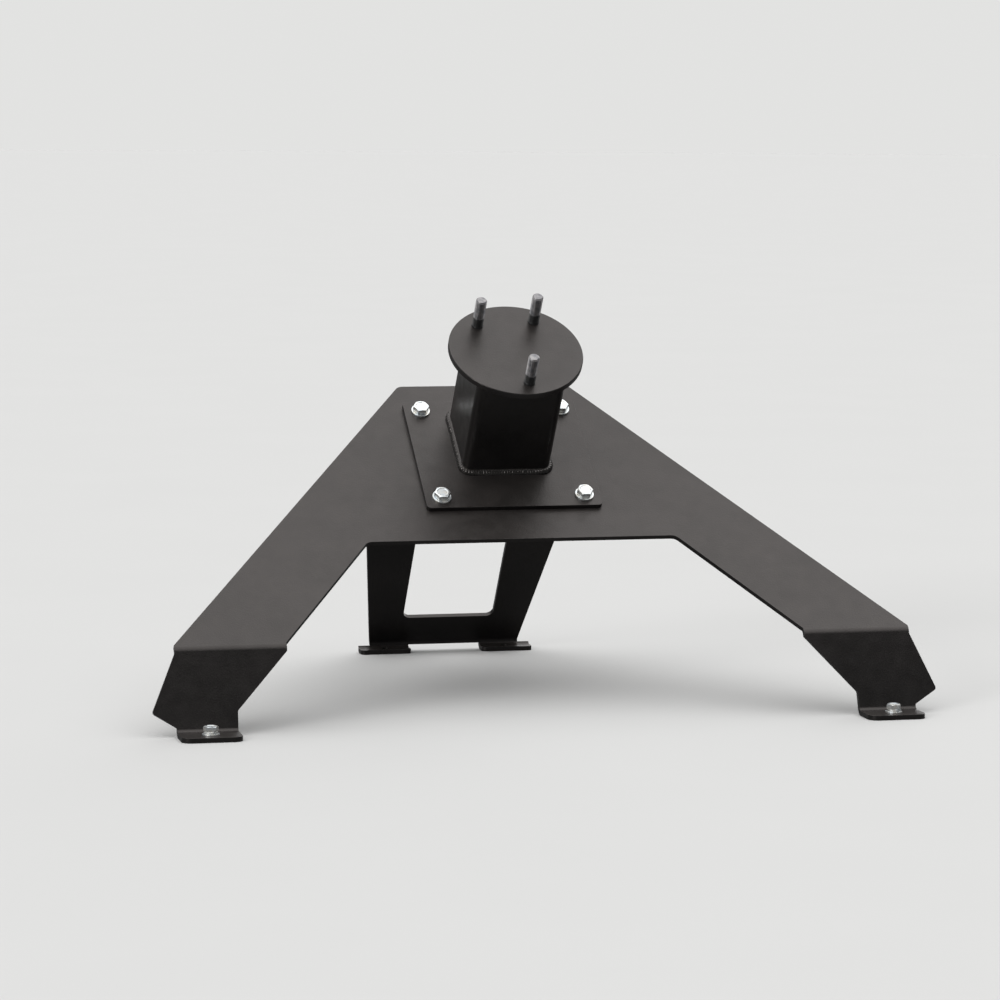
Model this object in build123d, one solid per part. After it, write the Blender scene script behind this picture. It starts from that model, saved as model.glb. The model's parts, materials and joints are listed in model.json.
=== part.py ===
from build123d import *

# Bed-mounted spare tire carrier: a folded A-shaped frame, a front leg, a post and a stud plate.
# Millimetres, +Z up. The origin is midway between the two rear foot bolts, on the floor.
# +X is the carrier's right side and +Y its front, towards the vehicle's cab.

import os
from math import cos, pi, radians, sin, tan

# ---------------------------------------------------------------- driving dimensions
SHEET = 6.0  # thickness of the frame, the front leg and the post base plate
INNER_BEND = 6.0  # inside radius of every fold
OUTER_BEND = INNER_BEND + SHEET
TILT = 36.5  # slope of the top panel, degrees above the floor
PANEL_LEAN = 17.0  # lean of the rear lower panels from upright, degrees

FOLD_Y = 52.0  # corner line of the fold between the top panel and the lower panels
FOLD_Z = 103.0

TOP_LENGTH = 473.0  # top panel, from the fold up the slope to its front edge
APEX_HALF = 113.0  # half width of that front edge
FOLD_OUTER = 463.0  # half width over both legs at the fold
FOLD_INNER = 326.0  # half gap between the legs at the fold
FOLD_STRAIGHT = 6.0  # length on each side of a fold where the edges run straight across it
CROTCH_S = 179.0  # slope distance of the straight edge between the legs
CROTCH_HALF = 199.0  # half width of that edge
SHEET_CORNER = 12.0  # rounding of the sheet's corners

PANEL_DROP = 77.0  # lower panel, from the fold down to its widest corner
PANEL_OUTER = 493.0
PANEL_INNER = 389.5
FOOT_X = 427.0  # rear foot bolts, each side of the middle
FOOT_HALF = 37.0  # half width of a rear foot tab
FOOT_REAR = 21.0  # length of a tab behind its bolt

BASE_S = 334.0  # centre of the post base plate, up the slope
BASE_WIDTH = 228.6
BASE_LENGTH = 203.0
BOLT_DX = 186.0  # base bolt spacing across the plate
BOLT_DS = 165.0  # and up the slope

POST_S = 354.0  # centre of the post, up the slope
POST_SIZE = 114.3
POST_WALL = 6.35
POST_CORNER = 12.0
WELD = 6.0  # leg of the fillet welds at both ends of the post

WHEEL_PLATE_RADIUS = 86.0
WHEEL_PLATE = 8.0
WHEEL_FACE = 163.0  # wheel face above the top panel, along the normal
STUD_CIRCLE = 127.0
STUD_TURN = 5.0  # turn of the stud circle about the post, degrees
STUD_STEPS = {"left": 126.0, "right": 54.0, "low": 270.0}  # three places of a five-lug circle
STUD_RADIUS = 7.0
STUD_SHANK_RADIUS = 7.5  # the part pressed and welded into the plate
STUD_LENGTH = 42.0  # stud length above the wheel face

LEG_S = 440.0  # rear face of the front leg, up the slope
LEG_HALF = 130.0
LEG_TAPER_Z = 165.0  # height below which the leg narrows
LEG_FOOT_HALF = 103.0
WINDOW_HALF = 63.0
WINDOW_BOTTOM_Z = 50.0
WINDOW_HEIGHT = 225.0  # along the leg
WINDOW_CORNER = 10.0
RELIEF_Z = 11.0  # lower edge of the cross bar between the front feet
FRONT_FOOT_INNER = 50.0
FRONT_FOOT_OUTER = 120.0
FRONT_FOOT_LENGTH = 42.0  # from the leg's front face at the floor to the rear edge
FRONT_HOLE_X = 84.0
FRONT_HOLE_BACK = 27.0
FRONT_HOLE_RADIUS = 5.5

BASE_BOLT = 12.0  # thread of the four base bolts
BASE_HEX = 18.0
BASE_HEAD = 7.5
BASE_WASHER = 24.0
BASE_WASHER_T = 2.5
BASE_SPARE = 4.0  # thread showing past the nut
NUT_HEIGHT = 12.0
NUT_COLLAR = 4.0  # round collar on the nut that holds the locking insert
NUT_COLLAR_RADIUS = 8.6
NUT_INSERT_RADIUS = 7.6
NUT_INSERT = 2.6

FOOT_BOLT = 10.0  # thread of the two rear foot bolts
FOOT_HEX = 16.0
FOOT_HEAD = 6.4
FOOT_WASHER = 21.0
FOOT_WASHER_T = 2.0
FOOT_LOCK_WASHER = 17.0
FOOT_LOCK_WASHER_T = 2.6
FOOT_LOCK_GAP = 2.0
FOOT_BOLT_BELOW = 25.0  # thread below the floor plane

UNDER_SHEETS = -2 * SHEET  # underside of the front leg's flange, below the top panel
GRIP_SHARE = 0.91  # plain grip of a rolled-thread bolt, as a share of its thread diameter
HOLE_CLEARANCE = 0.5  # radial, bolt to hole in the sheet
WASHER_CLEARANCE = 0.4
NUT_CLEARANCE = 0.05
TIP_CHAMFER = 1.2  # at the ends of studs and bolts
RIM_CHAMFER = 0.8  # round the wheel plate
HEAD_SLOPE = 1.8  # run over rise of the cone that turns off a hexagon's corners

# ---------------------------------------------------------------- working planes
ACROSS = (1, 0, 0)
# Top panel: local X across, local Y up the slope, local Z out of the top face.
TOP = Plane(
    origin=(0, FOLD_Y, FOLD_Z),
    x_dir=ACROSS,
    z_dir=(0, -sin(radians(TILT)), cos(radians(TILT))),
)
# Rear lower panels: local Y up the panel, local Z out of the rear face.
PANEL = Plane(
    origin=(0, FOLD_Y, FOLD_Z),
    x_dir=ACROSS,
    z_dir=(0, -cos(radians(PANEL_LEAN)), sin(radians(PANEL_LEAN))),
)
# Front leg: local Y up the leg, local Z out of the rear face.
LEG = Plane(
    origin=TOP.from_local_coords(Vector(0, LEG_S, -SHEET)),
    x_dir=ACROSS,
    z_dir=-TOP.y_dir,
)
SIDES = {"left": -1, "right": 1}


def leg_depth(z):
    """Distance down the leg's rear face from the frame's underside to height z."""
    return (LEG.origin.Z - z) / cos(radians(TILT))


# ---------------------------------------------------------------- folded sheet
def folded_strip(corners, radii, side):
    """A wide strip of sheet whose drawn face runs through (y, z) corners.

    The thickness lies on the given side of that path; radii are those of the drawn face.
    """
    drawn = FilletPolyline(*corners, radius=radii)
    outline = offset(drawn, amount=SHEET, side=side, closed=True)
    half_width = PANEL_OUTER + SHEET
    return extrude(Plane.YZ * make_face(outline.edges()), amount=half_width, both=True)


def bisector(before, corner, after):
    """Plane across a folded strip at one corner, facing along the path."""
    step_in = (Vector(0, *corner) - Vector(0, *before)).normalized()
    step_out = (Vector(0, *after) - Vector(0, *corner)).normalized()
    return Plane(origin=Vector(0, *corner), x_dir=ACROSS, z_dir=step_in + step_out)


def mirrored_outline(points):
    """Closed outline from points on the +X side and their mirror images, first to last."""
    other_side = [(-x, y) for x, y in reversed(points)]
    return make_face(Polyline(*points, *other_side, close=True))


def both_sides(shape):
    """A shape on the +X side together with its mirror image."""
    return shape + mirror(shape, about=Plane.YZ)


def cutter(plane, outline, depth=3 * OUTER_BEND):
    """A solid block of the outline, reaching through the sheet on both sides of the plane."""
    return extrude(plane * outline, amount=depth, both=True)


def round_corners(outline, radius, chooser):
    """Round the outline's corners that the chooser accepts."""
    corners = [v for v in outline.vertices() if chooser(v)]
    return fillet(corners, radius=radius)


def bolt_places():
    """The four base bolts on the top panel, as (x, s)."""
    return [(x, BASE_S + s) for x in (-BOLT_DX / 2, BOLT_DX / 2) for s in (-BOLT_DS / 2, BOLT_DS / 2)]


def base_bolt_holes():
    """Clearance holes for the base bolts, through everything on the slope there."""
    hole = Cylinder(BASE_BOLT / 2 + HOLE_CLEARANCE, 8 * SHEET)
    return Part() + [TOP * Pos(x, s, 0) * hole for x, s in bolt_places()]


# ---------------------------------------------------------------- main frame
def frame_path():
    """Corners of the frame's outer face in (y, z): front edge, fold, foot fold, tab end."""
    apex = TOP.from_local_coords(Vector(0, TOP_LENGTH, 0))
    foot_fold_y = FOLD_Y - (FOLD_Z - SHEET) * tan(radians(PANEL_LEAN))
    return [(apex.Y, apex.Z), (FOLD_Y, FOLD_Z), (foot_fold_y, SHEET), (-FOOT_REAR, SHEET)]


def top_outline():
    """The A shape on the top panel's plane, its legs running straight across the fold."""
    outline = mirrored_outline(
        [
            (APEX_HALF, TOP_LENGTH),
            (FOLD_OUTER, FOLD_STRAIGHT),
            (FOLD_OUTER, -OUTER_BEND),
            (FOLD_INNER, -OUTER_BEND),
            (FOLD_INNER, FOLD_STRAIGHT),
            (CROTCH_HALF, CROTCH_S),
        ]
    )
    return round_corners(outline, SHEET_CORNER, lambda v: v.Y > CROTCH_S - 1)


def panel_outline():
    """One lower panel, from the fold down to the foot tab, carried a little past both folds."""
    foot_drop = (FOLD_Z - SHEET) / cos(radians(PANEL_LEAN))
    tab_outer = FOOT_X + FOOT_HALF
    tab_inner = FOOT_X - FOOT_HALF
    outline = make_face(
        Polyline(
            (FOLD_OUTER, OUTER_BEND),
            (FOLD_OUTER, -FOLD_STRAIGHT),
            (PANEL_OUTER, -PANEL_DROP),
            (tab_outer, -foot_drop + FOLD_STRAIGHT),
            (tab_outer, -foot_drop - OUTER_BEND),
            (tab_inner, -foot_drop - OUTER_BEND),
            (tab_inner, -foot_drop + FOLD_STRAIGHT),
            (PANEL_INNER, -PANEL_DROP),
            (FOLD_INNER, -FOLD_STRAIGHT),
            (FOLD_INNER, OUTER_BEND),
            close=True,
        )
    )
    return round_corners(outline, SHEET_CORNER / 3, lambda v: abs(v.Y + PANEL_DROP) < 1)


def tab_outline():
    """One rear foot tab seen from above, rounded at its free end."""
    front = FOLD_Y
    length = front + FOOT_REAR
    outline = Pos(FOOT_X, front - length / 2) * Rectangle(2 * FOOT_HALF, length)
    return round_corners(outline, SHEET_CORNER, lambda v: v.Y < 0)


def main_frame():
    path = frame_path()
    strip = folded_strip(path, (OUTER_BEND, INNER_BEND), Side.LEFT)
    at_fold = bisector(*path[0:3])
    at_foot = bisector(*path[1:4])
    top = split(strip, at_fold, Keep.BOTTOM) & cutter(TOP, top_outline())
    lower = split(split(strip, at_fold, Keep.TOP), at_foot, Keep.BOTTOM)
    panels = lower & both_sides(cutter(PANEL, panel_outline()))
    tabs = split(strip, at_foot, Keep.TOP) & both_sides(cutter(Plane.XY, tab_outline()))
    frame = top + panels + tabs
    foot_hole = Cylinder(FOOT_BOLT / 2 + HOLE_CLEARANCE, 4 * SHEET)
    return frame - both_sides(Pos(FOOT_X, 0, 0) * foot_hole) - base_bolt_holes()


# ---------------------------------------------------------------- front leg
def front_foot_plane():
    """On the floor below the leg: local X across, local Y rearwards from its front face."""
    front_y = LEG.origin.Y + (LEG.origin.Z + SHEET / sin(radians(TILT))) * tan(radians(TILT))
    return Plane(origin=(0, front_y, 0), x_dir=ACROSS, z_dir=(0, 0, -1))


def leg_outline():
    """The leg on its own plane, with the gap between the front feet cut out."""
    taper = leg_depth(LEG_TAPER_Z)
    foot = leg_depth(0)
    return mirrored_outline(
        [
            (LEG_HALF, 0),
            (LEG_HALF, -taper),
            (LEG_FOOT_HALF, -foot + SHEET),
            (LEG_FOOT_HALF, -foot - 2 * OUTER_BEND),
            (FRONT_FOOT_INNER, -foot - 2 * OUTER_BEND),
            (FRONT_FOOT_INNER, -leg_depth(RELIEF_Z)),
        ]
    )


def window():
    centre = -leg_depth(WINDOW_BOTTOM_Z) + WINDOW_HEIGHT / 2
    return Pos(0, centre) * RectangleRounded(2 * WINDOW_HALF, WINDOW_HEIGHT, WINDOW_CORNER)


def front_foot_outline():
    """One front foot seen from above: it widens outwards once clear of the leg."""
    outline = make_face(
        Polyline(
            (FRONT_FOOT_INNER, 0),
            (LEG_FOOT_HALF, 0),
            (LEG_FOOT_HALF, OUTER_BEND),
            (FRONT_FOOT_OUTER, OUTER_BEND + SHEET),
            (FRONT_FOOT_OUTER, FRONT_FOOT_LENGTH),
            (FRONT_FOOT_INNER, FRONT_FOOT_LENGTH),
            close=True,
        )
    )
    return round_corners(outline, SHEET_CORNER / 2, lambda v: v.Y > FRONT_FOOT_LENGTH - 1)


def leg_path():
    """Corners of the leg's outer face in (y, z): flange end, top fold, foot fold, foot end."""
    flange_end = TOP.from_local_coords(Vector(0, BASE_S - BASE_LENGTH / 2, -SHEET))
    top_fold = TOP.from_local_coords(Vector(0, LEG_S + SHEET, -SHEET))
    foot_y = front_foot_plane().origin.Y
    return [
        (flange_end.Y, flange_end.Z),
        (top_fold.Y, top_fold.Z),
        (foot_y, 0.0),
        (foot_y - FRONT_FOOT_LENGTH, 0.0),
    ]


def front_leg():
    path = leg_path()
    strip = folded_strip(path, (OUTER_BEND, OUTER_BEND), Side.RIGHT)
    at_top = bisector(*path[0:3])
    at_foot = bisector(*path[1:4])
    flange_cut = Pos(0, BASE_S, 0) * Rectangle(2 * LEG_HALF, 2 * BASE_LENGTH)
    flange = split(strip, at_top, Keep.BOTTOM) & cutter(TOP, flange_cut)
    leg = split(split(strip, at_top, Keep.TOP), at_foot, Keep.BOTTOM)
    leg = leg & cutter(LEG, leg_outline() - window())
    foot_plane = front_foot_plane()
    feet = split(strip, at_foot, Keep.TOP) & both_sides(cutter(foot_plane, front_foot_outline()))
    hole = Pos(FRONT_HOLE_X, foot_plane.origin.Y - FRONT_HOLE_BACK, 0) * Cylinder(
        FRONT_HOLE_RADIUS, 4 * SHEET
    )
    return flange + leg + feet - both_sides(hole) - base_bolt_holes()


# ---------------------------------------------------------------- post and plates
def post_base_plate():
    outline = RectangleRounded(BASE_WIDTH, BASE_LENGTH, SHEET_CORNER / 2)
    return TOP * Pos(0, BASE_S, 0) * extrude(outline, amount=SHEET) - base_bolt_holes()


def post_section():
    return RectangleRounded(POST_SIZE, POST_SIZE, POST_CORNER)


def post_tube():
    bore = POST_SIZE - 2 * POST_WALL
    section = post_section() - RectangleRounded(bore, bore, POST_CORNER - POST_WALL)
    length = WHEEL_FACE - WHEEL_PLATE - SHEET
    return TOP * Pos(0, POST_S, SHEET) * extrude(section, amount=length)


def weld_ring():
    """Fillet weld all round the post, standing on its plate at Z = 0."""
    toe = offset(post_section(), amount=WELD)
    bead = extrude(toe, amount=WELD, taper=45)
    return bead - extrude(post_section(), amount=2 * WELD)


def post_base_weld():
    return TOP * Pos(0, POST_S, SHEET) * weld_ring()


def wheel_plate_weld():
    underside = WHEEL_FACE - WHEEL_PLATE
    return TOP * Pos(0, POST_S, underside) * Rot(180, 0, 0) * weld_ring()


def stud_places():
    """Stud centres measured from the post's axis, as {name: (x, s)}."""
    places = {}
    for name, angle in STUD_STEPS.items():
        turned = radians(angle + STUD_TURN)
        places[name] = (STUD_CIRCLE / 2 * cos(turned), STUD_CIRCLE / 2 * sin(turned))
    return places


def wheel_plate():
    plate = Cylinder(WHEEL_PLATE_RADIUS, WHEEL_PLATE, align=(Align.CENTER, Align.CENTER, Align.MAX))
    hole = Cylinder(STUD_SHANK_RADIUS, 4 * WHEEL_PLATE)
    plate -= [Pos(x, s, 0) * hole for x, s in stud_places().values()]
    rim = plate.edges().filter_by(GeomType.CIRCLE).filter_by(lambda e: e.radius > STUD_CIRCLE / 2)
    return TOP * Pos(0, POST_S, WHEEL_FACE) * chamfer(rim, length=RIM_CHAMFER)


def wheel_stud(name):
    x, s = stud_places()[name]
    thread = extrude(Circle(STUD_RADIUS), amount=STUD_LENGTH)
    tip = thread.edges().sort_by(Axis.Z)[-1]
    shank = extrude(Circle(STUD_SHANK_RADIUS), amount=-WHEEL_PLATE)
    return TOP * Pos(x, POST_S + s, WHEEL_FACE) * (chamfer(tip, length=TIP_CHAMFER) + shank)


# ---------------------------------------------------------------- fasteners
def ring(outer, inner, height):
    """A flat ring standing on Z = 0."""
    return extrude(Circle(outer) - Circle(inner), amount=height)


def hexagon(across_flats, height, chamfered_top=True):
    """A hexagonal prism standing on Z = 0, its corners turned off at the top."""
    corner_radius = across_flats / 2 / cos(pi / 6)
    prism = extrude(RegularPolygon(corner_radius, 6), amount=height)
    if not chamfered_top:
        return prism
    standing = (Align.CENTER, Align.CENTER, Align.MIN)
    top_radius = across_flats / 2 - TIP_CHAMFER / 4
    turned = Cone(top_radius + HEAD_SLOPE * height, top_radius, height, align=standing)
    return prism & turned


def hex_bolt(thread, across_flats, head, grip, threaded):
    """Hex bolt: the underside of its head on Z = 0, a plain grip below it, then the thread."""
    screw = extrude(Circle(thread / 2), amount=-threaded)
    tip = screw.edges().sort_by(Axis.Z)[0]
    plain = extrude(Circle(GRIP_SHARE * thread / 2), amount=-grip)
    return hexagon(across_flats, head) + plain + Pos(0, 0, -grip) * chamfer(tip, length=TIP_CHAMFER)


def split_washer():
    """Spring lock washer standing on Z = 0, with its cut."""
    washer = ring(FOOT_LOCK_WASHER / 2, FOOT_BOLT / 2 + WASHER_CLEARANCE, FOOT_LOCK_WASHER_T)
    gap = Pos(FOOT_LOCK_WASHER / 2, 0, 0) * Box(FOOT_LOCK_WASHER, FOOT_LOCK_GAP, 4 * FOOT_LOCK_WASHER_T)
    return washer - gap


def at_base_bolts(shape, n):
    """The same fastener at each base bolt, n above the top panel, as separate solids."""
    return Compound(children=[TOP * Pos(x, s, n) * shape for x, s in bolt_places()])


def frame_bolts():
    under_head = SHEET + BASE_WASHER_T
    grip = under_head - UNDER_SHEETS + BASE_WASHER_T
    bolt = hex_bolt(BASE_BOLT, BASE_HEX, BASE_HEAD, grip, NUT_HEIGHT + BASE_SPARE)
    return at_base_bolts(bolt, under_head)


def base_washer():
    return ring(BASE_WASHER / 2, BASE_BOLT / 2 + WASHER_CLEARANCE, BASE_WASHER_T)


def lock_nut():
    """Nut hanging below Z = 0, with a round collar that holds its locking insert."""
    hex_height = NUT_HEIGHT - NUT_COLLAR
    nut = hexagon(BASE_HEX, hex_height, chamfered_top=False)
    nut += Pos(0, 0, hex_height) * extrude(Circle(NUT_COLLAR_RADIUS), amount=NUT_COLLAR)
    nut -= Cylinder(BASE_BOLT / 2 + NUT_CLEARANCE, 4 * NUT_HEIGHT)
    nut -= Pos(0, 0, NUT_HEIGHT - NUT_INSERT) * extrude(Circle(NUT_INSERT_RADIUS), amount=NUT_INSERT)
    return Rot(180, 0, 0) * nut


def lock_insert():
    insert = ring(NUT_INSERT_RADIUS, BASE_BOLT / 2 + NUT_CLEARANCE, NUT_INSERT)
    return Rot(180, 0, 0) * Pos(0, 0, NUT_HEIGHT - NUT_INSERT) * insert


def foot_stack(side):
    """One rear foot's flat washer, lock washer and bolt, from the tab upwards."""
    x = SIDES[side] * FOOT_X
    flat_z = SHEET
    lock_z = flat_z + FOOT_WASHER_T
    head_z = lock_z + FOOT_LOCK_WASHER_T
    flat = ring(FOOT_WASHER / 2, FOOT_BOLT / 2 + WASHER_CLEARANCE, FOOT_WASHER_T)
    bolt = hex_bolt(FOOT_BOLT, FOOT_HEX, FOOT_HEAD, head_z, FOOT_BOLT_BELOW)
    return {
        f"foot_washer_{side}": Pos(x, 0, flat_z) * flat,
        f"foot_lock_washer_{side}": Pos(x, 0, lock_z) * split_washer(),
        f"foot_bolt_{side}": Pos(x, 0, head_z) * bolt,
    }


# ---------------------------------------------------------------- the assembly
def assembly():
    under_washers = UNDER_SHEETS - BASE_WASHER_T
    parts = {
        "main_frame": main_frame(),
        "front_leg": front_leg(),
        "post_base_plate": post_base_plate(),
        "post_tube": post_tube(),
        "post_base_weld": post_base_weld(),
        "wheel_plate": wheel_plate(),
        "wheel_plate_weld": wheel_plate_weld(),
        "frame_bolts": frame_bolts(),
        "frame_bolt_washers": at_base_bolts(base_washer(), SHEET),
        "frame_nut_washers": at_base_bolts(base_washer(), under_washers),
        "frame_lock_nuts": at_base_bolts(lock_nut(), under_washers),
        "frame_nut_inserts": at_base_bolts(lock_insert(), under_washers),
    }
    for name in STUD_STEPS:
        parts[f"wheel_stud_{name}"] = wheel_stud(name)
    for side in SIDES:
        parts.update(foot_stack(side))
    return parts


os.makedirs("parts", exist_ok=True)
for node, shape in assembly().items():
    export_step(shape, f"parts/{node}.step")
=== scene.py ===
import json
from math import cos, exp, pi, radians, sin, tan

import bmesh
import bpy
from mathutils import Matrix, Quaternion, Vector, noise


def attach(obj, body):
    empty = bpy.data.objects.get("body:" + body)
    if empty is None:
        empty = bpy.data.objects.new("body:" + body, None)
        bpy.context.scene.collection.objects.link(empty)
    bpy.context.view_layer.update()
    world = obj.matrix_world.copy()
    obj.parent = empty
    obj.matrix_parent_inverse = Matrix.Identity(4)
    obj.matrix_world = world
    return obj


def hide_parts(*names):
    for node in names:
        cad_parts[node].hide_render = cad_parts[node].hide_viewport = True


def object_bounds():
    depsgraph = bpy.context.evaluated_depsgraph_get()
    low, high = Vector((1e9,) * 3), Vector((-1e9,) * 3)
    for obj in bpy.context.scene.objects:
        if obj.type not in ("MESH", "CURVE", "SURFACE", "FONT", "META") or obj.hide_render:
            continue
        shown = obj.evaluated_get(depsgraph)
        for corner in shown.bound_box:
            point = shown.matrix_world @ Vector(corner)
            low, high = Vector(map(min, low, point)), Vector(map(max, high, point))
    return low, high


# The looks of a bed-mounted spare tire carrier. Metres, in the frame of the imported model:
# +X is the carrier's right, +Y its front and +Z up, with the floor at Z = 0.
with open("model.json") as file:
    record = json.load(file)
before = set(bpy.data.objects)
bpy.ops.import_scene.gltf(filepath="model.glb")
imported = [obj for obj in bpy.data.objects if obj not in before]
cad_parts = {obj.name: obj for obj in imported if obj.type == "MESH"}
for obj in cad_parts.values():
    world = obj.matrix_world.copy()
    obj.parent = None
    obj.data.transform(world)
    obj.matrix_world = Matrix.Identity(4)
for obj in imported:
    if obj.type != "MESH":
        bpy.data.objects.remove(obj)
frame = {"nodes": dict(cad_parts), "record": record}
CAD_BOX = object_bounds()

MM = 0.001

# ------------------------------------------------------------------ driving values
SIDES = 72  # steps round a turned or hexagonal piece; a multiple of six
ROUNDING = 0.25 * MM  # of cut edges; wider ones cross themselves at the small holes
MERGE = 0.002 * MM  # vertices closer than this are one
SHARP = radians(35)  # an edge that turns more than this is sharp
FLAT = radians(0.5)  # and one that turns less lies in a flat face

THREAD_DEPTH = 0.61  # of its pitch
THREAD_ROWS = 12  # mesh rows per pitch
CREST = 0.125  # flat share of the pitch at the thread's top
ROOT = 0.25  # and at its bottom
RUN_OUT = 1.5  # pitches over which a thread fades into the shank
BASE_THREAD = 6 * MM  # radius of the base bolts
STUD_PITCH = 1.5 * MM
BASE_PITCH = 1.75 * MM
FOOT_PITCH = 1.5 * MM
TIP = 1.2 * MM  # chamfer at the end of a thread
GRIP = 0.91  # plain grip of a bolt, as a share of its thread

FACE = 0.95  # washer face under a hexagon, as a share of its flats
FACE_LIP = 0.5 * MM
TURNED = 0.93  # flat top of a hexagon, as a share of its flats
CROWN_SLOPE = radians(30)
DISH = 0.5 * MM  # sunk middle of a bolt head
DISH_LIP = 0.82  # where the sunk middle starts, as a share of the flat top's radius
DISH_FLOOR = 0.74  # where it is level
DISH_CENTRE = 0.3  # rim of the face that closes it
COLLAR = 4 * MM  # round end of a lock nut
COLLAR_WALL = 1 * MM
ROLL_STEPS = 4  # mesh steps over its rolled edge

WASHER_BORE = 5.4 * MM
WASHER_CUT = radians(9)
WASHER_SLANT = 0.9 * MM  # slant of the cut across the washer's height
WASHER_SPRING = 0.35 * MM  # height between the two ends
WASHER_CORNER = 0.25 * MM

POST_CORNER = 12 * MM
BEAD_STEP = 0.6 * MM  # mesh step along a weld
BEAD_SECTION = 10  # mesh steps over its face
BEAD_SIZE = 0.92  # mean leg of the bead, as a share of the CAD weld's
BEAD_UNEVEN = 0.10  # and how far it wanders from that
UNEVEN_SPACING = 14 * MM  # roughly between its fat and thin places
BEAD_BULGE = 0.9 * MM
BULGE_LEAN = 0.7  # share of the bulge along each leg, about the sine of 45 degrees
BULGE_ROUND = 0.7  # under 1 for a fuller profile
CORNER_BULGE = 0.16  # extra at the post's corners, as a share of the leg
CORNER_SPREAD = 7 * MM  # how far along the side it fades
BEAD_SUNK = 0.5 * MM  # how far the bead's back sits inside the sheet
RIPPLE = 3.4 * MM  # spacing of the weld's ripples
RIPPLE_HEIGHT = 0.9 * MM
RIPPLE_ROUND = 0.6  # under 1 for round tops and narrow valleys
RIPPLE_SUNK = 0.6  # share of a ripple's height that lies below the bead's face
RIPPLE_BEND = 0.55  # how far a ripple's ends trail behind its middle, in ripples
RIPPLE_DRIFT = 0.25  # how far the ripples wander from even spacing, in ripples
DRIFT_SPACING = 9 * MM

# Colours are linear red, green and blue.
COAT = ((0.006, 0.006, 0.006), (0.012, 0.011, 0.011))  # darkest and lightest blotch
# lighter than the coat: a painted highlight along the sheets' rounded edges
EDGE_HIGHLIGHT_COAT = ((0.016, 0.016, 0.016), (0.030, 0.029, 0.028))
# lighter than the coat: a painted highlight on the weld beads
BEAD_HIGHLIGHT_COAT = ((0.010, 0.010, 0.010), (0.020, 0.019, 0.018))
COAT_ROUGH = 0.33
GLOSSY_ROUGH = 0.24  # on edges and welds, which shine more
COAT_TINT = (1.0, 0.93, 0.90, 1)
PAINTED_TOP_LIGHT = 0.07  # share of painted light from above on upward faces, warm and dust-coloured, where it is strongest
PAINTED_TOP_LIGHT_COLOUR = (0.36, 0.31, 0.28)
PAINTED_TOP_LIGHT_LEAN = (0.3, 0.9)  # upward lean of a surface over which the painted light from above fades in
ZINC_BASE = (0.86, 0.87, 0.89)
STUD_METAL = ((0.17, 0.17, 0.18), (0.30, 0.29, 0.29))
STUD_FOOT_BLACK = (0.012, 0.012, 0.012)
STUD_BLACK_LENGTH = 14 * MM  # length of each stud's foot that is black
BLACK_LINE_RAGGED = 0.8 * MM  # how ragged the end of that black foot is
NYLON_TONES = ((0.72, 0.73, 0.70), (0.82, 0.82, 0.79))
NYLON_DEPTH = 2 * MM  # how far light goes into it
SOFT = (0.3, 0.7)  # span of a noise that spreads into gentle patches
CRISP = (0.35, 0.65)  # and into clearer ones

CAMERA_AZIMUTH = -13.05  # degrees round the object; 0 looks along +Y
CAMERA_ELEVATION = 6.15  # degrees above level
CAMERA_DISTANCE = 4.98
CAMERA_ROLL = 0.3  # degrees
LENS = 139  # mm on a 36 mm sensor
FLOOR_RADIUS = 40
FLOOR_GAP = 0.1 * MM  # below the feet
FLOOR_SEEN = 0.62  # how pale the floor looks
FLOOR_LIT = 0.16  # how pale it is in the carrier's reflections, as with black cards laid round it
BACKDROP = (0.763, 0.764, 0.755)
DOME_SIDES = 0.15  # strength of the dome round the sides
DOME_TOP = 2.2
DOME_FROM = 30  # degrees above the floor where it starts to brighten
DOME_TO = 55
RIM_FROM = (0.55, 0.85, 0.45)  # beyond the carrier, to its right
RIM_SPREAD = 42  # degrees; a wide lamp throws a soft edge
RIM_STRENGTH = 0.8
FRONT_FROM = (-0.80, -0.60, 0.30)  # behind the viewer, to the left
FRONT_SPREAD = 22
FRONT_STRENGTH = 1.0

# ------------------------------------------------------------------ frames and spans
MOUNTS = {mount["name"]: mount for mount in frame["record"]["mounts"]}
ACROSS = Vector((1, 0, 0))
NORMAL = Vector(MOUNTS["wheel_stud_low"]["axis"])
UPHILL = NORMAL.cross(ACROSS)
SLOPE = Matrix((ACROSS, UPHILL, NORMAL)).transposed().to_4x4()  # top panel's axes
UNDER = SLOPE @ Matrix.Rotation(pi, 4, "X")  # the same, facing down out of its underside
LEVEL = Matrix.Identity(4)


class Span:
    """Where one CAD solid stands in a frame: its ends along Z, its widths and its foot."""

    def __init__(self, points, axes):
        to_axes = axes.inverted()
        local = [to_axes @ point for point in points]
        lowest = [min(point[i] for point in local) for i in range(3)]
        highest = [max(point[i] for point in local) for i in range(3)]
        middle = [(low + high) / 2 for low, high in zip(lowest, highest)]
        self.low = lowest[2]
        self.high = highest[2]
        self.length = self.high - self.low
        self.wide = highest[0] - lowest[0]
        self.deep = highest[1] - lowest[1]
        self.foot = axes @ Matrix.Translation((middle[0], middle[1], self.low))


def spans(node, axes):
    """One Span for each separate solid of a CAD node."""
    mesh = bmesh.new()
    mesh.from_mesh(frame["nodes"][node].data)
    bmesh.ops.remove_doubles(mesh, verts=mesh.verts, dist=MERGE)
    seen = set()
    found = []
    for start in mesh.verts:
        if start in seen:
            continue
        seen.add(start)
        grown = [start]
        island = []
        while grown:
            vert = grown.pop()
            island.append(vert.co.copy())
            for edge in vert.link_edges:
                other = edge.other_vert(vert)
                if other not in seen:
                    seen.add(other)
                    grown.append(other)
        found.append(Span(island, axes))
    mesh.free()
    return found


STUD_FOOT = spans("wheel_plate", SLOPE)[0].high  # height of the wheel face off the slope


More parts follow.
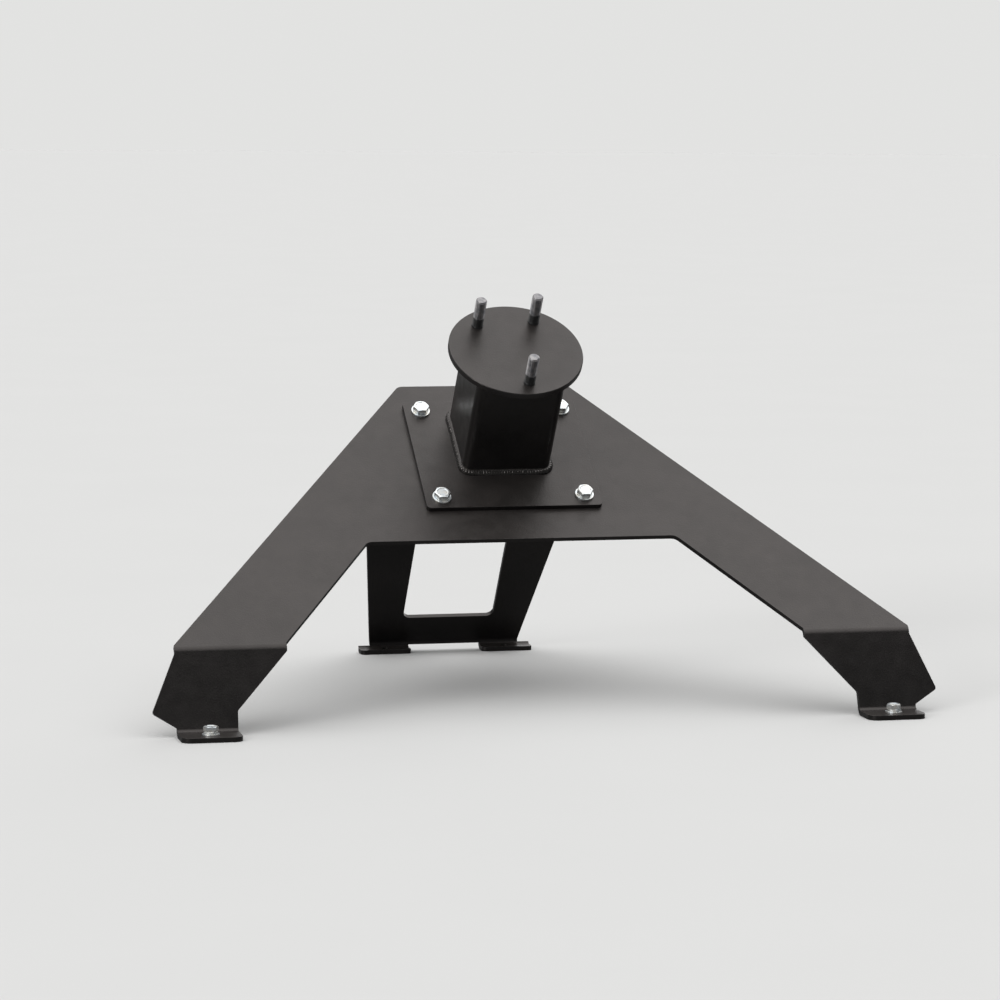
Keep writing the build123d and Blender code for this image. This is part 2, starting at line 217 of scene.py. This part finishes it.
# ------------------------------------------------------------------ mesh helpers
def value(number_or_rule, turn):
    """A plain number as it is, or a rule of the angle worked out at one angle."""
    return number_or_rule(turn) if callable(number_or_rule) else number_or_rule


def skin(mesh, loops):
    """Faces between neighbouring closed loops of vertices."""
    for lower, upper in zip(loops, loops[1:]):
        for i in range(len(lower)):
            j = (i + 1) % len(lower)
            mesh.faces.new((lower[i], lower[j], upper[j], upper[i]))


def add_loft(mesh, place, rings, closed=False):
    """A skin through rings of (radius, height); either may be a rule of the angle.

    An open loft is capped at both ends; a closed one joins its last ring to its first.
    """
    loops = []
    for radius, height in rings:
        loop = []
        for i in range(SIDES):
            turn = 2 * pi * i / SIDES
            reach = value(radius, turn)
            point = Vector((reach * cos(turn), reach * sin(turn), value(height, turn)))
            loop.append(mesh.verts.new(place @ point))
        loops.append(loop)
    if closed:
        loops.append(loops[0])
    else:
        mesh.faces.new(reversed(loops[0]))
        mesh.faces.new(loops[-1])
    skin(mesh, loops)


def new_piece(name, mesh, material, body, *nodes):
    """Turns a mesh into a piece that rides on a body and stands for CAD nodes."""
    bmesh.ops.recalc_face_normals(mesh, faces=mesh.faces)
    for face in mesh.faces:
        face.smooth = True
    for edge in mesh.edges:
        edge.smooth = edge.calc_face_angle(0) < SHARP
    data = bpy.data.meshes.new(name)
    mesh.to_mesh(data)
    mesh.free()
    piece = bpy.data.objects.new(name, data)
    bpy.context.scene.collection.objects.link(piece)
    data.materials.append(material)
    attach(piece, body)
    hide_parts(*nodes)


# ------------------------------------------------------------------ material helpers
class Shader:
    """A short way to lay out one procedural material; noise scales count cells per metre."""

    def __init__(self, name):
        self.material = bpy.data.materials.new(name)
        self.material.use_nodes = True
        self.tree = self.material.node_tree
        self.surface = self.tree.nodes["Principled BSDF"]
        self.place = self.node("ShaderNodeTexCoord").outputs["Object"]

    def node(self, kind, **inputs):
        made = self.tree.nodes.new(kind)
        for name, given in inputs.items():
            self.feed(made, name, given)
        return made

    def feed(self, node, name, given):
        socket = node.inputs[name]
        if isinstance(given, bpy.types.NodeSocket):
            self.tree.links.new(given, socket)
        else:
            socket.default_value = given

    def set(self, name, given):
        self.feed(self.surface, name, given)

    def noise(self, scale, detail=3.0, rough=0.5):
        made = self.node(
            "ShaderNodeTexNoise", Vector=self.place, Scale=scale, Detail=detail, Roughness=rough
        )
        return made.outputs["Fac"]

    def ramp(self, given, low, high, out_low=0.0, out_high=1.0):
        made = self.node("ShaderNodeMapRange", Value=given)
        made.inputs["From Min"].default_value = low
        made.inputs["From Max"].default_value = high
        self.feed(made, "To Min", out_low)
        self.feed(made, "To Max", out_high)
        return made.outputs["Result"]

    def patches(self, scale, detail, span=SOFT, low=0.0, high=1.0, rough=0.5):
        """Noise whose middle span is spread from low to high."""
        return self.ramp(self.noise(scale, detail, rough), *span, low, high)

    def math(self, operation, a, b=0.0):
        made = self.tree.nodes.new("ShaderNodeMath")
        made.operation = operation
        for socket, given in zip(made.inputs, (a, b)):
            if isinstance(given, bpy.types.NodeSocket):
                self.tree.links.new(given, socket)
            else:
                socket.default_value = given
        return made.outputs[0]

    def mix(self, share, a, b):
        made = self.tree.nodes.new("ShaderNodeMix")
        made.data_type = "RGBA"
        self.feed(made, "Factor", share)
        colour_sockets = made.inputs[6], made.inputs[7]  # the node keeps a pair for each type
        for socket, given in zip(colour_sockets, (a, b)):
            if isinstance(given, bpy.types.NodeSocket):
                self.tree.links.new(given, socket)
            else:
                socket.default_value = (*given, 1)
        return made.outputs[2]

    def along_slope(self):
        """The place measured along the top panel's own axes; Z is height off its plane."""
        turn = SLOPE.to_3x3().transposed().to_euler()
        made = self.tree.nodes.new("ShaderNodeMapping")
        made.inputs["Rotation"].default_value = turn
        self.feed(made, "Vector", self.place)
        return made.outputs["Vector"]

    def bump(self, layers):
        """Stacks bump layers of (height, distance, strength)."""
        normal = None
        for height, distance, strength in layers:
            made = self.node("ShaderNodeBump", Height=height, Distance=distance, Strength=strength)
            if normal is not None:
                self.feed(made, "Normal", normal)
            normal = made.outputs["Normal"]
        self.set("Normal", normal)


# ------------------------------------------------------------------ materials
def facing_up(shader):
    """How far a surface faces up, from 0 on walls and undersides to 1 on a level top."""
    split = shader.node("ShaderNodeSeparateXYZ")
    shader.feed(split, "Vector", shader.node("ShaderNodeNewGeometry").outputs["Normal"])
    return shader.ramp(split.outputs["Z"], *PAINTED_TOP_LIGHT_LEAN)


def powder_coat(name, tones, rough):
    """Satin black powder coat: orange peel, blotchy sheen, and painted light from above that
    lightens upward faces towards a warm dust colour.
    """
    coat = Shader(name)
    colour = coat.mix(coat.patches(scale=11, detail=5, span=CRISP), *tones)
    # Painted light from above: upward faces lightened in patches towards a warm grey, and made
    # rougher there.
    top_light_patches = coat.patches(scale=34, detail=6, rough=0.65, span=(0.42, 0.75), low=0.6)
    painted_top_light = coat.math("MULTIPLY", coat.math("MULTIPLY", facing_up(coat), top_light_patches), PAINTED_TOP_LIGHT)
    coat.set("Base Color", coat.mix(painted_top_light, colour, PAINTED_TOP_LIGHT_COLOUR))
    coat.set("Specular Tint", COAT_TINT)
    sheen = coat.patches(scale=60, detail=4, low=rough - 0.05, high=rough + 0.06)
    coat.set("Roughness", coat.math("ADD", sheen, coat.math("MULTIPLY", painted_top_light, 0.8)))
    orange_peel = (coat.noise(scale=500, detail=2), 0.5 * MM, 0.30)
    grain = (coat.noise(scale=1400, detail=3), 0.15 * MM, 0.40)
    coat.bump([orange_peel, grain])
    return coat.material


def scuffed(shader, low, high):
    """Handling marks on bare metal: roughness from low to high, and a very fine grain."""
    shader.set("Roughness", shader.patches(scale=420, detail=5, low=low, high=high))
    shader.bump([(shader.noise(scale=900, detail=3), 0.05 * MM, 0.4)])


def zinc():
    """Bright zinc plate: bare metal with a faint warm and cool bloom and fine handling marks."""
    plate = Shader("zinc")
    red, green, blue = ZINC_BASE
    cool = (0.93 * red, 0.98 * green, blue)
    warm = (1.05 * red, 1.02 * green, 0.94 * blue)
    bloom = plate.patches(scale=140, detail=4, span=CRISP)
    plate.set("Base Color", plate.mix(bloom, cool, warm))
    plate.set("Metallic", 1.0)
    scuffed(plate, low=0.38, high=0.54)
    return plate.material


def stud_steel():
    """Grey zinc-plated thread whose lowest part is black and not metallic."""
    steel = Shader("stud_steel")
    metal = steel.mix(steel.patches(scale=160, detail=4, span=CRISP), *STUD_METAL)
    split = steel.node("ShaderNodeSeparateXYZ", Vector=steel.along_slope())
    ragged = steel.patches(scale=220, detail=3, low=-BLACK_LINE_RAGGED, high=BLACK_LINE_RAGGED)
    height = steel.math("ADD", split.outputs["Z"], ragged)
    # darker towards the foot: black and not metallic over the lowest part, metal above
    bare = steel.ramp(height, STUD_FOOT + STUD_BLACK_LENGTH - MM, STUD_FOOT + STUD_BLACK_LENGTH + MM)
    steel.set("Base Color", steel.mix(bare, STUD_FOOT_BLACK, metal))
    steel.set("Metallic", bare)
    scuffed(steel, low=0.28, high=0.42)
    return steel.material


def nylon():
    """Off-white moulded nylon, slightly waxy."""
    insert = Shader("nylon")
    insert.set("Base Color", insert.mix(insert.patches(scale=300, detail=3), *NYLON_TONES))
    insert.set("Roughness", 0.45)
    insert.set("Subsurface Weight", 0.2)
    insert.set("Subsurface Radius", (NYLON_DEPTH, NYLON_DEPTH, NYLON_DEPTH))
    insert.bump([(insert.noise(scale=1500, detail=2), 0.05 * MM, 0.3)])
    return insert.material


def floor_paint():
    """Plain pale studio floor, darker in the carrier's reflections than to the camera."""
    paint = Shader("studio_floor")
    tone = paint.patches(scale=3, detail=4, low=0.995, high=1.005)
    seen = paint.node("ShaderNodeLightPath").outputs["Is Camera Ray"]
    level = paint.math("MULTIPLY", paint.ramp(seen, 0, 1, FLOOR_LIT, FLOOR_SEEN), tone)
    grey = paint.node("ShaderNodeCombineColor", Red=level, Green=level)
    paint.feed(grey, "Blue", paint.math("MULTIPLY", level, 0.99))
    paint.set("Base Color", grey.outputs["Color"])
    paint.set("Roughness", paint.patches(scale=8, detail=4, low=0.85, high=0.95))
    paint.set("Specular IOR Level", 0.0)
    return paint.material


BLACK = powder_coat("powder_coat", COAT, COAT_ROUGH)
EDGE_HIGHLIGHT = powder_coat("powder_coat_edge_highlight", EDGE_HIGHLIGHT_COAT, GLOSSY_ROUGH)
WELD_HIGHLIGHT_COAT = powder_coat("powder_coat_weld_highlight", BEAD_HIGHLIGHT_COAT, GLOSSY_ROUGH)
ZINC = zinc()
STUD_STEEL = stud_steel()
NYLON = nylon()


# ------------------------------------------------------------------ CAD nodes that stay
def dress(node, material, edge_material):
    """Gives a CAD node its finish and rounds its sharp edges, without touching its mesh."""
    piece = frame["nodes"][node]
    piece.data.materials.clear()
    piece.data.materials.append(material)
    piece.data.materials.append(edge_material)
    weld = piece.modifiers.new("weld", "WELD")
    weld.merge_threshold = MERGE
    flats = piece.modifiers.new("flats", "DECIMATE")
    flats.decimate_type = "DISSOLVE"
    flats.angle_limit = FLAT
    rounding = piece.modifiers.new("rounding", "BEVEL")
    rounding.width = ROUNDING
    rounding.segments = 3
    rounding.limit_method = "ANGLE"
    rounding.angle_limit = SHARP
    # the rounded edges get the second material; on the black sheets it is a lighter coat, a painted
    # edge highlight
    rounding.material = 1
    shading = piece.modifiers.new("shading", "WEIGHTED_NORMAL")
    shading.keep_sharp = False


# ------------------------------------------------------------------ threads and hexagons
def thread_rings(radius, pitch, start, tip):
    """Rings of an external thread, upwards, whose run-out is at start and whose end is at tip."""
    depth = THREAD_DEPTH * pitch
    low, high = min(start, tip), max(start, tip)
    steps = round((high - low) / pitch * THREAD_ROWS)
    rings = []
    for k in range(steps + 1):
        z = low + (high - low) * k / steps
        faded = min(1, abs(z - start) / (RUN_OUT * pitch))
        limit = radius - TIP + abs(z - tip)

        def reach(turn, z=z, faded=faded, limit=limit):
            phase = (z / pitch - turn / (2 * pi)) % 1
            tooth = (1 - abs(2 * phase - 1) - ROOT) / (1 - ROOT - CREST)
            groove = depth * faded * (1 - min(1, max(0, tooth)))
            return min(radius - groove, limit)

        rings.append((reach, z))
    return rings


def hexagon(flats):
    """Radius of a hexagon by angle, with a corner on the X axis."""
    return lambda turn: flats / 2 / cos(turn % (pi / 3) - pi / 6)


def crown(flats, top):
    """Height by angle where a turned cone cuts the hexagon's sides."""
    outline = hexagon(flats)
    return lambda turn: top - (outline(turn) - TURNED * flats / 2) * tan(CROWN_SLOPE)


def hex_bolt_rings(radius, pitch, thread_end, under_head, flats, top):
    """Rings of a whole bolt, from its tip at Z = 0 up to the dished top of its head."""
    grip = GRIP * radius
    face = FACE * flats / 2
    turned = TURNED * flats / 2
    return [
        *thread_rings(radius, pitch, thread_end, 0),
        (grip, thread_end),
        (grip, under_head),
        (face, under_head),
        (face, under_head + FACE_LIP),
        (hexagon(flats), under_head + FACE_LIP),
        (hexagon(flats), crown(flats, top)),
        (turned, top),
        (DISH_LIP * turned, top),
        (DISH_FLOOR * turned, top - DISH),
        (DISH_CENTRE * turned, top - DISH),
    ]


# ------------------------------------------------------------------ fasteners
def frame_bolts():
    """The four base bolts: hex heads above the base plate, threads out of their nuts."""
    washer_top = spans("frame_bolt_washers", SLOPE)[0].high
    grip_end = spans("frame_nut_washers", SLOPE)[0].low
    mesh = bmesh.new()
    for span in spans("frame_bolts", SLOPE):
        rings = hex_bolt_rings(
            BASE_THREAD,
            BASE_PITCH,
            grip_end - span.low,
            washer_top - span.low,
            span.deep,
            span.length,
        )
        add_loft(mesh, span.foot, rings)
    new_piece("frame_bolts_threaded", mesh, ZINC, "carrier", "frame_bolts")


def frame_lock_nuts():
    """The four nuts below: a hexagon against the washer, then a rolled collar."""
    insert = spans("frame_nut_inserts", UNDER)[0]
    seat = insert.wide / 2
    collar = seat + COLLAR_WALL
    mesh = bmesh.new()
    for span in spans("frame_lock_nuts", UNDER):
        flats = span.deep
        top = span.length - COLLAR
        floor = span.length - insert.length
        rings = [
            (BASE_THREAD, 0),
            (FACE * flats / 2, 0),
            (FACE * flats / 2, FACE_LIP),
            (hexagon(flats), FACE_LIP),
            (hexagon(flats), crown(flats, top)),
            (collar, top),
        ]
        for step in range(ROLL_STEPS + 1):
            turn = pi / 2 * step / ROLL_STEPS
            radius = seat + COLLAR_WALL * cos(turn)
            rings.append((radius, span.length - COLLAR_WALL * (1 - sin(turn))))
        rings += [(seat, floor), (BASE_THREAD, floor)]
        add_loft(mesh, span.foot, rings, closed=True)
    new_piece("frame_lock_nuts_rolled", mesh, ZINC, "carrier", "frame_lock_nuts")


def foot_bolt(side):
    """One rear foot bolt, threaded from the floor down."""
    span = spans(f"foot_bolt_{side}", LEVEL)[0]
    under_head = spans(f"foot_lock_washer_{side}", LEVEL)[0].high - span.low
    radius = MOUNTS["rear_foot_bolts"]["dims"]["stud_r_mm"] * MM
    rings = hex_bolt_rings(
        radius, FOOT_PITCH, -span.low, under_head, span.deep, span.length
    )
    mesh = bmesh.new()
    add_loft(mesh, span.foot, rings)
    name = f"foot_bolt_{side}"
    new_piece(f"{name}_threaded", mesh, ZINC, f"{side}_foot_bolt", name)


def lock_washer(side):
    """A spring lock washer: one turn of square wire, cut on the slant, its ends a little apart."""
    span = spans(f"foot_lock_washer_{side}", LEVEL)[0]
    outer = span.deep / 2
    wire = outer - WASHER_BORE
    height = span.length - WASHER_SPRING
    corner = WASHER_CORNER
    section = (
        (corner, 0),
        (wire - corner, 0),
        (wire, corner),
        (wire, height - corner),
        (wire - corner, height),
        (corner, height),
        (0, height - corner),
        (0, corner),
    )
    mesh = bmesh.new()
    loops = []
    for i in range(SIDES + 1):
        share = i / SIDES
        loop = []
        for x, z in section:
            slant = WASHER_SLANT * (z / height - 0.5) / outer
            turn = WASHER_CUT / 2 + (2 * pi - WASHER_CUT) * share + slant
            lift = WASHER_SPRING * share
            point = Vector(((WASHER_BORE + x) * cos(turn), (WASHER_BORE + x) * sin(turn), z + lift))
            loop.append(mesh.verts.new(span.foot @ point))
        loops.append(loop)
    skin(mesh, loops)
    mesh.faces.new(reversed(loops[0]))
    mesh.faces.new(loops[-1])
    name = f"foot_lock_washer_{side}"
    new_piece(f"{name}_sprung", mesh, ZINC, f"{side}_lock_washer", name)


def wheel_stud(name):
    """One wheel stud: a shank flush in the plate's underside, then its thread to a coned tip."""
    span = spans(name, SLOPE)[0]
    shank = STUD_FOOT - span.low
    radius = MOUNTS[name]["dims"]["r_mm"] * MM
    rings = [
        (span.wide / 2, 0),
        (span.wide / 2, shank),
        *thread_rings(radius, STUD_PITCH, shank, span.length),
    ]
    mesh = bmesh.new()
    add_loft(mesh, span.foot, rings)
    new_piece(f"{name}_threaded", mesh, STUD_STEEL, "carrier", name)


# ------------------------------------------------------------------ welds
def round_the_post(half):
    """Evenly spaced (point, outward normal, distance, corner share) round the post's section."""
    straight = 2 * (half - POST_CORNER)
    arc = POST_CORNER * pi / 2
    whole = 4 * (straight + arc)
    count = round(whole / BEAD_STEP)
    for i in range(count):
        distance = whole * i / count
        side, along = divmod(distance, straight + arc)
        quarter = Matrix.Rotation(side * pi / 2, 3, "Z")
        if along < straight:
            point = Vector((along - straight / 2, -half, 0))
            normal = Vector((0, -1, 0))
            gap = min(along, straight - along)
        else:
            turn = (along - straight) / POST_CORNER - pi / 2
            normal = Vector((cos(turn), sin(turn), 0))
            point = Vector((straight / 2, -straight / 2, 0)) + POST_CORNER * normal
            gap = 0
        yield quarter @ point, quarter @ normal, distance, gap


def bead_section(point, normal, distance, size, bulge):
    """One closed section of a bead: its rippled face, then its back inside the two sheets."""
    loop = []
    for k in range(BEAD_SECTION + 1):
        share = k / BEAD_SECTION
        chevron = (2 * share - 1) ** 2
        drift = RIPPLE_DRIFT * noise.noise(point / DRIFT_SPACING)
        phase = distance / RIPPLE + RIPPLE_BEND * chevron + drift
        ripple = RIPPLE_HEIGHT * (abs(sin(pi * phase)) ** RIPPLE_ROUND - RIPPLE_SUNK)
        out = (bulge + ripple) * sin(pi * share) ** BULGE_ROUND
        across = size * share + out * BULGE_LEAN
        up = size * (1 - share) + out * BULGE_LEAN
        loop.append(point + normal * across + Vector((0, 0, up)))
    loop.append(point + normal * size - Vector((0, 0, BEAD_SUNK)))
    loop.append(point - normal * BEAD_SUNK - Vector((0, 0, BEAD_SUNK)))
    loop.append(point - normal * BEAD_SUNK + Vector((0, 0, size)))
    return loop


def weld_bead(node, axes):
    """A hand-laid fillet weld round the post, with ripples and fuller corners."""
    span = spans(node, axes)[0]
    leg = span.length
    half = span.wide / 2 - leg
    mesh = bmesh.new()
    loops = []
    for point, normal, distance, gap in round_the_post(half):
        uneven = BEAD_UNEVEN * noise.noise(Vector((distance / UNEVEN_SPACING, leg / MM, 3.0)))
        fuller = CORNER_BULGE * exp(-(gap / CORNER_SPREAD) ** 2)
        size = leg * (BEAD_SIZE + uneven)
        bulge = BEAD_BULGE * (1 + 2 * uneven) + leg * fuller
        loop = bead_section(point, normal, distance, size, bulge)
        loops.append([mesh.verts.new(span.foot @ place) for place in loop])
    skin(mesh, loops + loops[:1])
    # the bead's lighter coat is a painted highlight
    new_piece(f"{node}_rippled", mesh, WELD_HIGHLIGHT_COAT, "carrier", node)


# ------------------------------------------------------------------ studio
def studio_floor():
    """A flat disc, far wider than the picture, just under the feet."""
    mesh = bmesh.new()
    bmesh.ops.create_circle(mesh, cap_ends=True, radius=FLOOR_RADIUS, segments=SIDES)
    data = bpy.data.meshes.new("studio_floor")
    mesh.to_mesh(data)
    mesh.free()
    floor = bpy.data.objects.new("studio_floor", data)
    floor.location.z = -FLOOR_GAP
    data.materials.append(floor_paint())
    bpy.context.scene.collection.objects.link(floor)


def studio_sky():
    """A soft overhead dome, bright at the top and dim round the sides, seen as a pale backdrop."""
    world = bpy.data.worlds.new("studio")
    bpy.context.scene.world = world
    world.use_nodes = True
    tree = world.node_tree
    tree.nodes.clear()

    def node(kind):
        return tree.nodes.new(kind)

    place = node("ShaderNodeTexCoord")
    split = node("ShaderNodeSeparateXYZ")
    tree.links.new(place.outputs["Generated"], split.inputs[0])
    rise = node("ShaderNodeMapRange")
    rise.interpolation_type = "SMOOTHSTEP"
    rise.inputs["From Min"].default_value = sin(radians(DOME_FROM))
    rise.inputs["From Max"].default_value = sin(radians(DOME_TO))
    rise.inputs["To Min"].default_value = DOME_SIDES
    rise.inputs["To Max"].default_value = DOME_TOP
    tree.links.new(split.outputs["Z"], rise.inputs["Value"])
    dome = node("ShaderNodeBackground")
    tree.links.new(rise.outputs["Result"], dome.inputs["Strength"])
    backdrop = node("ShaderNodeBackground")
    backdrop.inputs["Color"].default_value = (*BACKDROP, 1)
    seen = node("ShaderNodeLightPath")
    mix = node("ShaderNodeMixShader")
    tree.links.new(seen.outputs["Is Camera Ray"], mix.inputs[0])
    tree.links.new(dome.outputs[0], mix.inputs[1])
    tree.links.new(backdrop.outputs[0], mix.inputs[2])
    out = node("ShaderNodeOutputWorld")
    tree.links.new(mix.outputs[0], out.inputs["Surface"])


def wide_lamp(name, source, spread, strength):
    """A broad far lamp that shines from the direction of source."""
    light = bpy.data.lights.new(name, "SUN")
    light.angle = radians(spread)
    light.energy = strength
    lamp = bpy.data.objects.new(name, light)
    lamp.rotation_mode = "QUATERNION"
    lamp.rotation_quaternion = Vector(source).to_track_quat("Z", "Y")
    bpy.context.scene.collection.objects.link(lamp)


def camera(target):
    """At the viewing angle of a person standing behind the carrier's left rear foot."""
    azimuth, elevation = radians(CAMERA_AZIMUTH), radians(CAMERA_ELEVATION)
    back = Vector((sin(azimuth) * cos(elevation), -cos(azimuth) * cos(elevation), sin(elevation)))
    data = bpy.data.cameras.new("camera")
    data.lens = LENS
    viewer = bpy.data.objects.new("camera", data)
    viewer.location = target + CAMERA_DISTANCE * back
    viewer.rotation_mode = "QUATERNION"
    roll = Quaternion((0, 0, 1), radians(CAMERA_ROLL))
    viewer.rotation_quaternion = (-back).to_track_quat("-Z", "Y") @ roll
    bpy.context.scene.collection.objects.link(viewer)
    bpy.context.scene.camera = viewer


# ------------------------------------------------------------------ the whole carrier
for node in ("main_frame", "front_leg", "post_base_plate", "post_tube", "wheel_plate"):
    dress(node, BLACK, EDGE_HIGHLIGHT)
for node in ("frame_bolt_washers", "frame_nut_washers", "foot_washer_left", "foot_washer_right"):
    dress(node, ZINC, ZINC)
dress("frame_nut_inserts", NYLON, NYLON)
frame_bolts()
frame_lock_nuts()
for side in ("left", "right"):
    foot_bolt(side)
    lock_washer(side)
for name in MOUNTS:
    if name.startswith("wheel_stud"):
        wheel_stud(name)
weld_bead("post_base_weld", SLOPE)
weld_bead("wheel_plate_weld", UNDER)

centre = (CAD_BOX[0] + CAD_BOX[1]) / 2
studio_floor()
studio_sky()
wide_lamp("rim_lamp", RIM_FROM, RIM_SPREAD, RIM_STRENGTH)  # lights the far edges
wide_lamp("front_lamp", FRONT_FROM, FRONT_SPREAD, FRONT_STRENGTH)  # glints on bolts and weld
camera(centre)
bpy.context.scene.view_settings.view_transform = "Standard"
